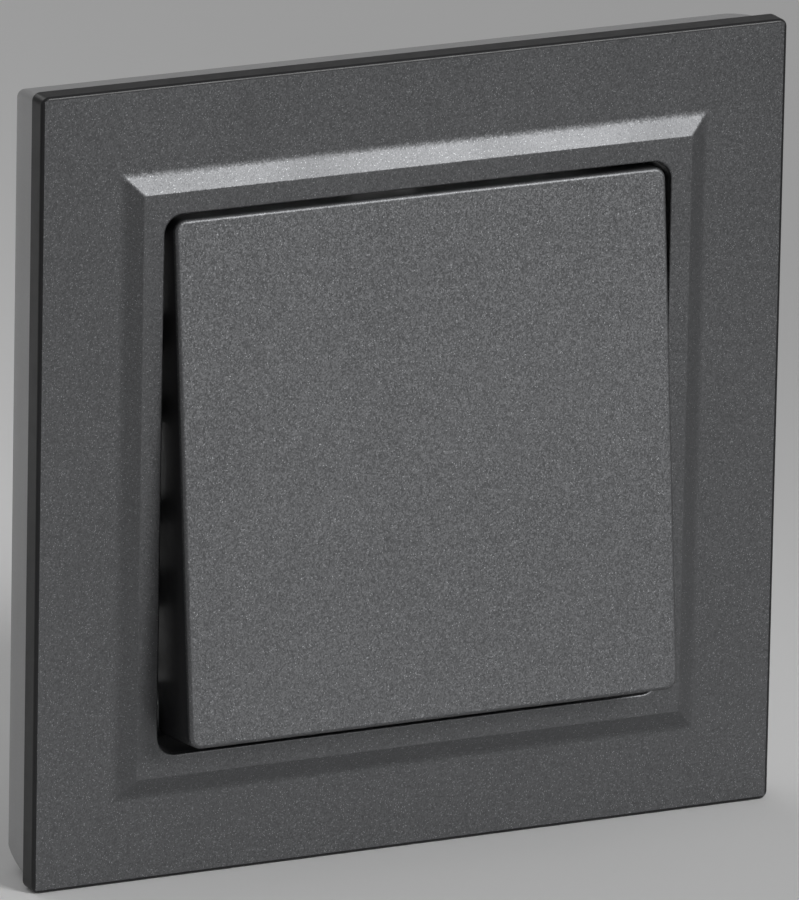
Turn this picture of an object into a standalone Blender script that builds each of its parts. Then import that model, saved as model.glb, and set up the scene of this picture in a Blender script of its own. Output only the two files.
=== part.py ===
"""A flush rocker wall switch: frame, key, support plate, mechanism and spreading claws.

Metres, +Z up. The origin is the centre of the wall plane. The switch faces -Y and its mechanism reaches
into the wall box along +Y. Left is -X. Cross-sections that repeat on all four sides are given as halves,
the distance from the centre to a side.
"""

import math

import bmesh
import bpy
from mathutils import Matrix, Vector

MM = 0.001
GAP = 0.3 * MM  # between pieces that rest on each other or slide in each other
CUT = 1.0 * MM  # how far a cutter reaches past the material
CORNER_STEPS = 6

# Frame shell
FRAME_HALF = 42.5 * MM
FRAME_FACE_Y = -9.8 * MM
FRAME_CORNER = 0.9 * MM
FRAME_EDGE = 0.35 * MM
SHELL_SIDE = 2.6 * MM
SHELL_WALL = 1.4 * MM
FACE_WALL = 1.5 * MM
RIM_FOOT_HALF = 33.7 * MM
RIM_HALF = 31.2 * MM
RIM_HEIGHT = 0.9 * MM
RIM_CORNER = 0.25 * MM
RIM_FILLET = 0.4  # share of the rim's slope that is rounded into the face
OPENING_HALF = 28.9 * MM
OPENING_CORNER = 2.1 * MM
FLANGE_WALL = 1.4 * MM
FLANGE_END_Y = -4.6 * MM

# Rear carrier of the frame
BASE_SET_IN = 0.5 * MM
BASE_SHOULDER_HALF = FRAME_HALF - BASE_SET_IN
BASE_SLOPE = 0.135
BASE_FOOT_ROUND = 0.25 * MM
BASE_CORNER = 0.8 * MM
BASE_RIM_HALF = BASE_SHOULDER_HALF - 2.8 * MM
BASE_WEB = 1.4 * MM
BASE_WALL = 1.4 * MM
SCREW_NOTCH_HALF = 6.0 * MM
SCREW_NOTCH_Y = -4.4 * MM

# Snaps between shell, carrier and plate
SNAP_HALF_WIDTH = 1.7 * MM
SHELL_SNAP_OFFSET = 12.0 * MM
SHELL_SNAP_Y = (-6.6 * MM, -5.4 * MM)
SHELL_SNAP_REACH = 1.1 * MM
PLATE_SNAP_OFFSET = 20.0 * MM
PLATE_SNAP_Y = (-4.0 * MM, -2.9 * MM)
TAB_HALF = 32.8 * MM
TAB_THICKNESS = 0.8 * MM
TAB_HALF_WIDTH = 4.0 * MM
TAB_HEIGHT = 4.4 * MM

# Key
PIVOT_Y = -5.1 * MM
TILT = math.radians(5.9)
KEY_HALF_X = OPENING_HALF - 0.9 * MM
KEY_HALF_Z = OPENING_HALF - 1.25 * MM
KEY_FACE = -9.0 * MM
KEY_BACK = -1.0 * MM
KEY_CORNER = 1.3 * MM
KEY_EDGE = 0.4 * MM
KEY_WALL = 1.4 * MM
KEY_PANEL = 1.6 * MM
RIB_X = 18.6 * MM
RIB_HALF_Z = 21.0 * MM
RIB_THICKNESS = 1.2 * MM
RIB_HEIGHT = 1.6 * MM
HOOK_X = 7.0 * MM
HOOK_HALF_WIDTH = 2.5 * MM
HOOK_THICKNESS = 1.2 * MM
HOOK_CATCH = 0.9 * MM
HOOK_CATCH_HEIGHT = 0.8 * MM

# Carrier of the key
CRADLE_HALF_X = 14.0 * MM
CRADLE_HALF_Z = 11.5 * MM
CRADLE_PLATE = 1.8 * MM
CHEEK_THICKNESS = 1.6 * MM
CHEEK_HALF_Z = 5.0 * MM
TRUNNION_RADIUS = 1.5 * MM
TRUNNION_END = 16.9 * MM
KNUCKLE_RADIUS = 1.9 * MM
STEM_RADIUS = 3.4 * MM
STEM_BORE = 2.3 * MM
STEM_FLOOR = -4.0 * MM
STEM_END = 7.0 * MM

# Plunger and its spring, along the stem
SPRING_WIRE = 0.2 * MM
SPRING_RADIUS = 1.6 * MM
SPRING_LENGTH = 6.6 * MM
SPRING_TURNS = 6.0
PLUNGER_RADIUS = STEM_BORE - GAP
PLUNGER_NOSE_RADIUS = 1.2 * MM
PLUNGER_SHOULDER = 8.6 * MM
PLUNGER_TIP = 11.0 * MM

# Support plate
PLATE_HALF = 35.5 * MM
PLATE_CORNER = 4.0 * MM
PLATE_THICKNESS = 1.0 * MM
PLATE_FRONT = -PLATE_THICKNESS
WINDOW_HALF_X = 18.0 * MM
WINDOW_HALF_Z = 19.0 * MM
FIXING_CENTRES = 60.0 * MM
SLOT_RADIUS = 1.8 * MM
SLOT_REACH = 2.4 * MM

# Mechanism housing
WALL = 1.5 * MM
BOX_HALF_X = WINDOW_HALF_X + WALL
BOX_HALF_Z = WINDOW_HALF_Z + WALL
BOX_CHAMFER = 2.0 * MM
COVER_THICKNESS = 1.5 * MM
COVER_FRONT = PLATE_FRONT - GAP - COVER_THICKNESS
STEM_OPENING_X = 4.3 * MM
STEM_OPENING_Z = 4.6 * MM
EAR_THICKNESS = 2.0 * MM
EAR_HALF_Z = 3.6 * MM
EAR_HEIGHT = 2.9 * MM
HOUSING_SCREW_X = 14.0 * MM
HOUSING_SCREW_Z = 22.6 * MM
LUG_RADIUS = 2.9 * MM
BOSS_DEPTH = 8.0 * MM
PARTITION_X = 5.3 * MM
PARTITION_WALL = 1.2 * MM
PARTITION_FRONT = 8.0 * MM

# Contacts
BRIDGE_TILT = math.radians(8.0)
BRIDGE_HALF_LENGTH = 9.4 * MM
BRIDGE_HALF_WIDTH = 3.0 * MM
BRIDGE_THICKNESS = 1.0 * MM
TIP_Z = 7.7 * MM
TIP_RADIUS = 1.6 * MM
TIP_SHANK = 0.8 * MM
TIP_HEIGHT = 0.6 * MM
STRIP_THICKNESS = 0.8 * MM
STRIP_HALF_WIDTH = 3.0 * MM
TONGUE_Z = 13.7 * MM
FIXED_STRIP_END = 5.6 * MM
KNIFE_EDGE = 0.12 * MM

# Terminals
CAGE_HALF_X = 5.0 * MM
CAGE_SIDE = 1.4 * MM
CAGE_Z = (9.4 * MM, 16.5 * MM)
CAGE_INNER_Z = (10.6 * MM, 15.1 * MM)
CAGE_DEPTH = 7.8 * MM
CAGE_SCREW_RADIUS = 1.6 * MM
CAGE_SCREW_HEAD = 2.8 * MM
CAGE_HEAD_Z = (19.4 * MM, 21.4 * MM)
WIRE_HOLE_X = 2.0 * MM
WIRE_HOLE_RADIUS = 1.4 * MM

# M3 screws of the housing and the claws
SCREW_RADIUS = 1.5 * MM
SCREW_HEAD_RADIUS = 2.6 * MM
SCREW_HEAD_HEIGHT = 1.8 * MM
SCREW_SLOT = 0.7 * MM
SCREW_SLOT_DEPTH = 0.9 * MM
SCREW_END = (0.4 * MM, 1.05 * MM)  # length of the chamfer and radius of the end
CLAW_SCREW_END = (1.2 * MM, 0.3 * MM)  # a point, because the claw's arm turns away from it
HOUSING_SCREW_LENGTH = 9.3 * MM
PITCH = 0.5 * MM
CLAW_TURNS = 4.5
WASHER_RADIUS = 2.5 * MM
WASHER_THICKNESS = 0.5 * MM

# Spreading claws
CLAW_SCREW_X = 22.6 * MM
CLAW_HINGE_X = 26.6 * MM
CLAW_HINGE_Y = 3.0 * MM
CLAW_SHEET = 1.0 * MM
CLAW_HALF_Z = 5.6 * MM
CLAW_ARM_Y = 4.6 * MM
CLAW_ARM_END_X = 20.9 * MM
CLAW_FOOT_Y = 23.0 * MM
CLAW_TOOTH = 2.2 * MM
CLAW_PIN_RADIUS = 0.7 * MM
CLAW_EAR_RADIUS = 1.5 * MM
CLAW_LUG_HALF_X = 2.0 * MM

MATERIALS = {
    "graphite_lacquer": ((0.105, 0.107, 0.112), 0.42, 0.0),
    "grey_plastic": ((0.33, 0.33, 0.33), 0.5, 0.0),
    "white_plastic": ((0.78, 0.78, 0.75), 0.45, 0.0),
    "zinc_steel": ((0.62, 0.63, 0.64), 0.35, 1.0),
    "spring_steel": ((0.5, 0.5, 0.5), 0.3, 1.0),
    "brass": ((0.75, 0.56, 0.27), 0.32, 1.0),
    "silver": ((0.82, 0.81, 0.78), 0.25, 1.0),
}


# --- Places along the depth that follow from the plunger --------------------------------------------


def bridge_y():
    """Where the bridge rocks: its front face is a gap away from the plunger's nose at rest."""
    reach = PLUNGER_TIP - PLUNGER_NOSE_RADIUS
    nose_y = PIVOT_Y + reach * math.cos(TILT)
    nose_z = -reach * math.sin(TILT)
    clear = PLUNGER_NOSE_RADIUS + GAP + BRIDGE_THICKNESS / 2
    return nose_y + (clear + nose_z * math.sin(BRIDGE_TILT)) / math.cos(BRIDGE_TILT)


def fixed_tip_place():
    """Where the moving rivet's dome stands when the contact is closed, as (y, z)."""
    reach = BRIDGE_THICKNESS / 2 + GAP + TIP_HEIGHT
    y = reach * math.cos(BRIDGE_TILT) + TIP_Z * math.sin(BRIDGE_TILT)
    return bridge_y() + y, reach * math.sin(BRIDGE_TILT) - TIP_Z * math.cos(BRIDGE_TILT)


STRIP_Y = fixed_tip_place()[0] + GAP + TIP_HEIGHT + GAP + STRIP_THICKNESS / 2
CAGE_Y = (STRIP_Y + STRIP_THICKNESS, STRIP_Y + STRIP_THICKNESS + CAGE_DEPTH)
TERMINAL_Y = sum(CAGE_Y) / 2
TONGUE_END = CAGE_Y[1] - 0.9 * MM
BOX_BACK = CAGE_Y[1] + GAP + WALL


# --- Solids ---------------------------------------------------------------------------------------


def new_object(name, bm):
    """The bmesh as an object with its faces pointing out."""
    bmesh.ops.remove_doubles(bm, verts=bm.verts, dist=1e-7)
    bmesh.ops.recalc_face_normals(bm, faces=bm.faces)
    mesh = bpy.data.meshes.new(name)
    bm.to_mesh(mesh)
    bm.free()
    obj = bpy.data.objects.new(name, mesh)
    bpy.context.collection.objects.link(obj)
    return obj


def box(x_range, y_range, z_range):
    """A box between pairs of coordinates."""
    bm = bmesh.new()
    bmesh.ops.create_cube(bm, size=1.0)
    size = [b - a for a, b in (x_range, y_range, z_range)]
    centre = [(a + b) / 2 for a, b in (x_range, y_range, z_range)]
    bmesh.ops.scale(bm, vec=size, verts=bm.verts)
    bmesh.ops.translate(bm, vec=centre, verts=bm.verts)
    return new_object("box", bm)


def turned(profile, start, axis, steps=32):
    """A solid turned about axis through start. The profile lists (distance along the axis, radius)."""
    bm = bmesh.new()
    direction = Vector(axis).normalized()
    across = direction.orthogonal().normalized()
    start = Vector(start)
    points = [start + direction * along + across * radius for along, radius in profile]
    verts = [bm.verts.new(point) for point in points]
    edges = [bm.edges.new(pair) for pair in zip(verts, verts[1:])]
    bmesh.ops.spin(
        bm,
        geom=verts + edges,
        cent=start,
        axis=direction,
        angle=math.tau,
        steps=steps,
        use_merge=True,
    )
    return new_object("turned", bm)


def rod(radius, start, end, steps=32):
    """A plain cylinder between two points."""
    length = (Vector(end) - Vector(start)).length
    profile = [(0, 0), (0, radius), (length, radius), (length, 0)]
    return turned(profile, start, Vector(end) - Vector(start), steps)


def prism(points, low, high, to_point):
    """The closed outline of points, extruded from low to high. to_point(u, v, w) places a corner."""
    bm = bmesh.new()
    rings = [[bm.verts.new(to_point(u, v, w)) for u, v in points] for w in (low, high)]
    bm.faces.new(rings[0])
    bm.faces.new(rings[1])
    bridge(bm, rings[0], rings[1])
    return new_object("prism", bm)


def bridge(bm, ring, other):
    """Quads between two closed loops of as many vertices."""
    for i in range(len(ring)):
        j = (i + 1) % len(ring)
        bm.faces.new((ring[i], ring[j], other[j], other[i]))


def along_x(u, v, w):
    return (w, u, v)


def along_y(u, v, w):
    return (u, w, v)


def along_z(u, v, w):
    return (u, v, w)


def rounded_rectangle(half_x, half_z, radius):
    """Corner points of a rectangle with rounded corners, counter-clockwise in (x, z)."""
    points = []
    for quarter in range(4):
        centre_x = (half_x - radius) * (1 if quarter in (0, 3) else -1)
        centre_z = (half_z - radius) * (1 if quarter in (0, 1) else -1)
        for step in range(CORNER_STEPS + 1):
            angle = math.radians(90) * (quarter + step / CORNER_STEPS)
            points.append((centre_x + radius * math.cos(angle), centre_z + radius * math.sin(angle)))
    return points


def square_ring(section):
    """A section swept around a rounded square. The section lists (half, y, corner radius), closed."""
    bm = bmesh.new()
    rings = [
        [bm.verts.new((x, y, z)) for x, z in rounded_rectangle(half, half, corner)]
        for half, y, corner in section
    ]
    for ring, other in zip(rings, rings[1:] + rings[:1]):
        bridge(bm, ring, other)
    return new_object("square_ring", bm)


def combine(target, others, operation):
    """One exact boolean for each of the others, which are used up."""
    for other in others:
        modifier = target.modifiers.new("boolean", "BOOLEAN")
        modifier.operation = operation
        modifier.solver = "EXACT"
        modifier.object = other
        depsgraph = bpy.context.evaluated_depsgraph_get()
        mesh = bpy.data.meshes.new_from_object(target.evaluated_get(depsgraph))
        target.modifiers.clear()
        target.data = mesh
        bpy.data.objects.remove(other)
    return target


def add(target, *others):
    return combine(target, others, "UNION")


def cut(target, *others):
    return combine(target, others, "DIFFERENCE")


def finish(obj, name, material, parent=None, sharp=30.0):
    """Names the object, gives it its material and shades its rounds smooth."""
    obj.name = name
    obj.data.name = name
    obj.data.materials.clear()
    obj.data.materials.append(bpy.data.materials[material])
    obj.data.shade_smooth()
    obj.data.set_sharp_from_angle(angle=math.radians(sharp))
    obj.parent = parent
    return obj


def set_origin(obj, point):
    """Moves the object's origin to point and leaves its shape where it is."""
    obj.data.transform(Matrix.Translation(-Vector(point)))
    obj.location = point


def empty(name, location, tilt):
    """An empty on a joint's axis, which lies along X. Its children are modelled untilted."""
    obj = bpy.data.objects.new(name, None)
    obj.empty_display_size = 5.0 * MM
    obj.location = location
    obj.rotation_euler = (tilt, 0, 0)
    bpy.context.collection.objects.link(obj)
    return obj


def four_sides():
    """Quarter turns about the switch's own axis, which carry one side on to each of the others."""
    return [Matrix.Rotation(math.radians(90) * quarter, 4, "Y") for quarter in range(4)]


def turned_to(side, obj):
    obj.data.transform(side)
    return obj


def mirrored_box(side_x, x_range, y_range, z_range):
    """A box whose x_range is given for the right side; side_x is 1 on the right and -1 on the left."""
    return box(tuple(sorted(side_x * x for x in x_range)), y_range, z_range)


# --- Frame ----------------------------------------------------------------------------------------


def rim_rise(share):
    """Share of the rim's height at a share of its slope's width: a hollow round, then straight."""
    steepness = 1 / (1 - RIM_FILLET / 2)
    if share < RIM_FILLET:
        return steepness * share**2 / (2 * RIM_FILLET)
    return steepness * (share - RIM_FILLET / 2)


def shell_section():
    """The shell's section, from the rear of its side over the rim and into the opening."""
    rear = FRAME_FACE_Y + SHELL_SIDE
    rear_round = 0.2 * MM
    points = [
        (FRAME_HALF - rear_round, rear, FRAME_CORNER),
        (FRAME_HALF, rear - rear_round, FRAME_CORNER),
    ]
    for step in range(4):
        angle = math.radians(30) * step
        points.append(
            (
                FRAME_HALF - FRAME_EDGE * (1 - math.cos(angle)),
                FRAME_FACE_Y + FRAME_EDGE * (1 - math.sin(angle)),
                FRAME_CORNER - FRAME_EDGE * (1 - math.cos(angle)),
            )
        )
    for step in range(6):
        share = step / 5
        points.append(
            (
                RIM_FOOT_HALF + (RIM_HALF - RIM_FOOT_HALF) * share,
                FRAME_FACE_Y - RIM_HEIGHT * rim_rise(share),
                RIM_CORNER,
            )
        )
    lip = 0.2 * MM
    points += [
        (OPENING_HALF + lip, FRAME_FACE_Y - RIM_HEIGHT, OPENING_CORNER),
        (OPENING_HALF, FRAME_FACE_Y - RIM_HEIGHT + lip, OPENING_CORNER),
        (OPENING_HALF, FLANGE_END_Y, OPENING_CORNER),
        (OPENING_HALF + FLANGE_WALL, FLANGE_END_Y, OPENING_CORNER),
        (OPENING_HALF + FLANGE_WALL, FRAME_FACE_Y + FACE_WALL, OPENING_CORNER),
        (FRAME_HALF - SHELL_WALL, FRAME_FACE_Y + FACE_WALL, RIM_CORNER),
        (FRAME_HALF - SHELL_WALL, rear, RIM_CORNER),
    ]
    return points


def make_frame_cover():
    cover = square_ring(shell_section())
    flange = OPENING_HALF + FLANGE_WALL
    for side in four_sides():
        for offset in (-SHELL_SNAP_OFFSET, SHELL_SNAP_OFFSET):
            barb = box(
                (flange - FLANGE_WALL / 2, flange + SHELL_SNAP_REACH),
                SHELL_SNAP_Y,
                (offset - SNAP_HALF_WIDTH, offset + SNAP_HALF_WIDTH),
            )
            add(cover, turned_to(side, barb))
    finish(cover, "frame_cover", "graphite_lacquer")


def base_half(y):
    """Half-width of the carrier's convex side, which draws in towards the wall."""
    shoulder_y = FRAME_FACE_Y + SHELL_SIDE + GAP
    share = y / shoulder_y
    return BASE_SHOULDER_HALF + BASE_SLOPE * (shoulder_y - y) - BASE_FOOT_ROUND * (1 - share) ** 4


def base_section():
    """The carrier's section: convex side, step into the shell, web, and the wall on the support plate."""
    shoulder_y = FRAME_FACE_Y + SHELL_SIDE + GAP
    points = []
    for share in (0.0, 0.08, 0.2, 0.4, 0.6, 0.8, 1.0):
        y = shoulder_y * share
        points.append((base_half(y), y, BASE_CORNER))
    step_half = FRAME_HALF - SHELL_WALL - GAP
    web_front = FRAME_FACE_Y + FACE_WALL + GAP
    wall_inner = OPENING_HALF + FLANGE_WALL + GAP
    wall_end = PLATE_FRONT - GAP
    points += [
        (step_half, shoulder_y, BASE_CORNER),
        (step_half, web_front, BASE_CORNER),
        (wall_inner, web_front, OPENING_CORNER),
        (wall_inner, wall_end, OPENING_CORNER),
        (wall_inner + BASE_WALL, wall_end, OPENING_CORNER),
        (wall_inner + BASE_WALL, web_front + BASE_WEB, OPENING_CORNER),
        (BASE_RIM_HALF, web_front + BASE_WEB, BASE_CORNER),
        (BASE_RIM_HALF, 0.0, BASE_CORNER),
    ]
    return points


def make_frame_base():
    base = square_ring(base_section())
    wall_inner = OPENING_HALF + FLANGE_WALL + GAP
    wall_outer = wall_inner + BASE_WALL
    for side in four_sides():
        notch = box(
            (wall_inner - CUT, wall_outer + CUT),
            (SCREW_NOTCH_Y, 0.0),
            (-SCREW_NOTCH_HALF, SCREW_NOTCH_HALF),
        )
        cut(base, turned_to(side, notch))
        for offset in (-SHELL_SNAP_OFFSET, SHELL_SNAP_OFFSET):
            window = box(
                (wall_inner - CUT, wall_outer + CUT),
                (SHELL_SNAP_Y[0] - GAP, SHELL_SNAP_Y[1] + GAP),
                (offset - SNAP_HALF_WIDTH - GAP, offset + SNAP_HALF_WIDTH + GAP),
            )
            cut(base, turned_to(side, window))
    for side_x in (-1, 1):
        for offset in (-PLATE_SNAP_OFFSET, PLATE_SNAP_OFFSET):
            barb = mirrored_box(
                side_x,
                (wall_outer - BASE_WALL / 2, TAB_HALF + TAB_THICKNESS),
                PLATE_SNAP_Y,
                (offset - SNAP_HALF_WIDTH, offset + SNAP_HALF_WIDTH),
            )
            add(base, barb)
    finish(base, "frame_base", "grey_plastic")


# --- Support plate --------------------------------------------------------------------------------


def slot(centre_x, centre_z, reach_x, reach_z):
    """A cutter for a slot with round ends through the plate."""
    y_range = (PLATE_FRONT - CUT, CUT)
    points = []
    for end, first in ((1, -90), (-1, 90)):
        for step in range(9):
            angle = math.radians(first + 180 * step / 8)
            u = end * SLOT_REACH + SLOT_RADIUS * math.cos(angle)
            v = SLOT_RADIUS * math.sin(angle)
            if reach_z:
                u, v = -v, u
            points.append((centre_x + u, centre_z + v))
    return prism(points, y_range[0], y_range[1], along_y)


def add_plate_tab(plate, side_x, offset):
    """A tab lanced out of the plate and bent forwards, with a window for the carrier's barb."""
    inner = TAB_HALF
    outer = TAB_HALF + TAB_THICKNESS
    half_width = TAB_HALF_WIDTH
    cut(
        plate,
        mirrored_box(
            side_x,
            (inner - TAB_HEIGHT, inner),
            (PLATE_FRONT - CUT, CUT),
            (offset - half_width, offset + half_width),
        ),
    )
    tab = mirrored_box(
        side_x,
        (inner, outer),
        (PLATE_FRONT - TAB_HEIGHT, PLATE_FRONT / 2),
        (offset - half_width, offset + half_width),
    )
    window = mirrored_box(
        side_x,
        (inner - CUT, outer + CUT),
        (PLATE_SNAP_Y[0] - GAP, PLATE_SNAP_Y[1] + GAP),
        (offset - SNAP_HALF_WIDTH - GAP, offset + SNAP_HALF_WIDTH + GAP),
    )
    add(plate, cut(tab, window))


def add_claw_lugs(plate, side_x):
    """Two lugs lanced out of the plate and bent backwards, with holes for the claw's pins."""
    inner = CLAW_HALF_Z + GAP
    outer = inner + CLAW_SHEET
    x_range = (CLAW_HINGE_X - CLAW_LUG_HALF_X, CLAW_HINGE_X + CLAW_LUG_HALF_X)
    reach = CLAW_HINGE_Y + CLAW_LUG_HALF_X
    for side_z in (-1, 1):
        z_range = tuple(sorted((side_z * inner, side_z * outer)))
        lug = mirrored_box(side_x, x_range, (PLATE_FRONT / 2, reach), z_range)
        lance = tuple(sorted((side_z * outer, side_z * (outer + reach))))
        cut(plate, mirrored_box(side_x, x_range, (PLATE_FRONT - CUT, CUT), lance))
        hole_x = side_x * CLAW_HINGE_X
        hole = rod(
            CLAW_PIN_RADIUS + GAP,
            (hole_x, CLAW_HINGE_Y, z_range[0] - CUT),
            (hole_x, CLAW_HINGE_Y, z_range[1] + CUT),
            20,
        )
        add(plate, cut(lug, hole))


def make_support_plate():
    outline = rounded_rectangle(PLATE_HALF, PLATE_HALF, PLATE_CORNER)
    window = rounded_rectangle(WINDOW_HALF_X, WINDOW_HALF_Z, PLATE_CORNER / 2)
    plate = prism(outline, PLATE_FRONT, 0.0, along_y)
    cut(plate, prism(window, PLATE_FRONT - CUT, CUT, along_y))
    half = FIXING_CENTRES / 2
    for sign in (-1, 1):
        cut(plate, slot(sign * half, 0.0, 0, 1), slot(0.0, sign * half, 1, 0))
    for x, z in housing_screw_places():
        cut(plate, hole_through_plate(x, z))
    for side_x in (-1, 1):
        cut(plate, hole_through_plate(side_x * CLAW_SCREW_X, 0.0))
        add_claw_lugs(plate, side_x)
        for offset in (-PLATE_SNAP_OFFSET, PLATE_SNAP_OFFSET):
            add_plate_tab(plate, side_x, offset)
    finish(plate, "support_plate", "zinc_steel")


def hole_through_plate(x, z):
    return rod(SCREW_RADIUS + GAP, (x, PLATE_FRONT - CUT, z), (x, CUT, z), 24)


def housing_screw_places():
    """Upper left and lower right, clear of the terminals' screwdriver paths."""
    return [(-HOUSING_SCREW_X, HOUSING_SCREW_Z), (HOUSING_SCREW_X, -HOUSING_SCREW_Z)]


# --- Mechanism housing ----------------------------------------------------------------------------


def lug(x, z, y_range):
    """A round lug around a housing screw, joined back to the box's wall."""
    round_part = rod(LUG_RADIUS, (x, y_range[0], z), (x, y_range[1], z), 28)
    neck = sorted((math.copysign(BOX_HALF_Z - WALL / 2, z), z))
    return add(round_part, box((x - LUG_RADIUS, x + LUG_RADIUS), y_range, tuple(neck)))


def make_housing_cover():
    y_range = (COVER_FRONT, COVER_FRONT + COVER_THICKNESS)
    outline = rounded_rectangle(BOX_HALF_X, BOX_HALF_Z, PLATE_CORNER / 2)
    cover = prism(outline, y_range[0], y_range[1], along_y)
    opening = rounded_rectangle(STEM_OPENING_X, STEM_OPENING_Z, WALL)
    cut(cover, prism(opening, y_range[0] - CUT, y_range[1] + CUT, along_y))
    for x, z in housing_screw_places():
        add(cover, lug(x, z, y_range))
        hole = rod(SCREW_RADIUS + GAP, (x, y_range[0] - CUT, z), (x, y_range[1] + CUT, z), 24)
        cut(cover, hole)
    for side_x in (-1, 1):
        add(cover, trunnion_ear(side_x))
    add(cover, hold_down_post(1, STRIP_Y - STRIP_THICKNESS / 2 - GAP))
    add(cover, hold_down_post(-1, STRIP_Y - STRIP_THICKNESS / 2 - GAP))
    finish(cover, "housing_cover", "white_plastic")


def trunnion_ear(side_x):
    """An ear in front of the cover with the hole that a trunnion turns in."""
    inner = CRADLE_HALF_X + GAP
    outer = inner + EAR_THICKNESS
    root = COVER_FRONT + COVER_THICKNESS / 2
    outline = [(root, -EAR_HALF_Z), (root, EAR_HALF_Z)]
    for step in range(9):
        angle = math.radians(22.5 * step)
        outline.append((PIVOT_Y - EAR_HEIGHT * math.sin(angle), EAR_HEIGHT * math.cos(angle)))
    low, high = sorted((side_x * inner, side_x * outer))
    ear = prism(outline, low, high, along_x)
    start = (low - CUT, PIVOT_Y, 0.0)
    end = (high + CUT, PIVOT_Y, 0.0)
    return cut(ear, rod(TRUNNION_RADIUS + GAP, start, end, 24))


def hold_down_post(side_z, end_y):
    """A post behind the cover that keeps a contact strip on its seat."""
    inner = BRIDGE_HALF_LENGTH + 0.5 * MM
    z_range = tuple(sorted((side_z * inner, side_z * (inner + WALL))))
    root = COVER_FRONT + COVER_THICKNESS / 2
    return box((-STRIP_HALF_WIDTH, STRIP_HALF_WIDTH), (root, end_y), z_range)


def make_housing_base():
    front = GAP
    outline = rounded_rectangle(BOX_HALF_X, BOX_HALF_Z, PLATE_CORNER / 2)
    shell = chamfered_block(outline, front, BOX_BACK)
    hollow = rounded_rectangle(WINDOW_HALF_X, WINDOW_HALF_Z, PLATE_CORNER / 4)
    cut(shell, prism(hollow, front - CUT, BOX_BACK - WALL, along_y))
    floor = BOX_BACK - WALL * 0.75
    for side_x in (-1, 1):
        partition = mirrored_box(
            side_x,
            (PARTITION_X, PARTITION_X + PARTITION_WALL),
            (PARTITION_FRONT, floor),
            (-WINDOW_HALF_Z - WALL / 4, WINDOW_HALF_Z + WALL / 4),
        )
        add(shell, partition)
    seat = STRIP_Y + STRIP_THICKNESS / 2 + GAP
    for z_range in ((3.0 * MM, 5.0 * MM), (-8.8 * MM, -6.6 * MM)):
        add(shell, box((-PARTITION_X - WALL / 2, PARTITION_X + WALL / 2), (seat, floor), z_range))
    for x, z in housing_screw_places():
        add(shell, lug(x, z, (front, BOSS_DEPTH)))
        cut(shell, rod(SCREW_RADIUS + GAP, (x, front - CUT, z), (x, BOSS_DEPTH - WALL, z), 24))
    for side_z in (-1, 1):
        cut(shell, screwdriver_hole(side_z))
        for x in (-WIRE_HOLE_X, WIRE_HOLE_X):
            z = side_z * (CAGE_INNER_Z[0] + WIRE_HOLE_RADIUS)
            start = (x, BOX_BACK - WALL - CUT, z)
            cut(shell, rod(WIRE_HOLE_RADIUS, start, (x, BOX_BACK + CUT, z), 24))
    finish(shell, "housing_base", "white_plastic")


def chamfered_block(outline, front, back):
    """A block along Y whose rear edge is chamfered."""
    bm = bmesh.new()
    shrink_x = 1 - BOX_CHAMFER / BOX_HALF_X
    shrink_z = 1 - BOX_CHAMFER / BOX_HALF_Z
    levels = [(front, 1.0, 1.0), (back - BOX_CHAMFER, 1.0, 1.0), (back, shrink_x, shrink_z)]
    rings = [[bm.verts.new((x * sx, y, z * sz)) for x, z in outline] for y, sx, sz in levels]
    bm.faces.new(rings[0])
    bm.faces.new(rings[-1])
    for ring, other in zip(rings, rings[1:]):
        bridge(bm, ring, other)
    return new_object("block", bm)


def screwdriver_hole(side_z):
    """The round hole in the box's side in which a terminal screw's head sits."""
    start = (0, TERMINAL_Y, side_z * (WINDOW_HALF_Z - CUT))
    end = (0, TERMINAL_Y, side_z * (BOX_HALF_Z + CUT))
    return rod(CAGE_SCREW_HEAD + GAP, start, end)


# --- Key and its carrier --------------------------------------------------------------------------


def make_rocker(pivot):
    """The key, modelled about its pivot: a flat panel with a skirt, ribs and hooks behind it."""
    bm = bmesh.new()
    inner_x = KEY_HALF_X - KEY_WALL
    inner_z = KEY_HALF_Z - KEY_WALL
    levels = [(KEY_HALF_X, KEY_HALF_Z, KEY_BACK, KEY_CORNER)]
    for step in range(4):
        angle = math.radians(30) * step
        inset = KEY_EDGE * (1 - math.cos(angle))
        y = KEY_FACE + KEY_EDGE * (1 - math.sin(angle))
        levels.append((KEY_HALF_X - inset, KEY_HALF_Z - inset, y, KEY_CORNER - inset))
    rings = [
        [bm.verts.new((x, y, z)) for x, z in rounded_rectangle(half_x, half_z, corner)]
        for half_x, half_z, y, corner in levels
    ]
    inside = rounded_rectangle(inner_x, inner_z, KEY_CORNER / 2)
    panel_back = KEY_FACE + KEY_PANEL
    hollow = [[bm.verts.new((x, y, z)) for x, z in inside] for y in (KEY_BACK, panel_back)]
    for ring, other in zip(rings, rings[1:]):
        bridge(bm, ring, other)
    bridge(bm, rings[0], hollow[0])
    bridge(bm, hollow[0], hollow[1])
    bm.faces.new(rings[-1])
    bm.faces.new(hollow[1])
    rocker = new_object("rocker", bm)
    root = KEY_FACE + KEY_PANEL / 2
    for side_x in (-1, 1):
        rib_x = (RIB_X, RIB_X + RIB_THICKNESS)
        rib_y = (root, panel_back + RIB_HEIGHT)
        add(rocker, mirrored_box(side_x, rib_x, rib_y, (-RIB_HALF_Z, RIB_HALF_Z)))
        for side_z in (-1, 1):
            add(rocker, key_hook(side_x * HOOK_X, side_z, root))
    finish(rocker, "rocker", "graphite_lacquer", pivot)


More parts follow.
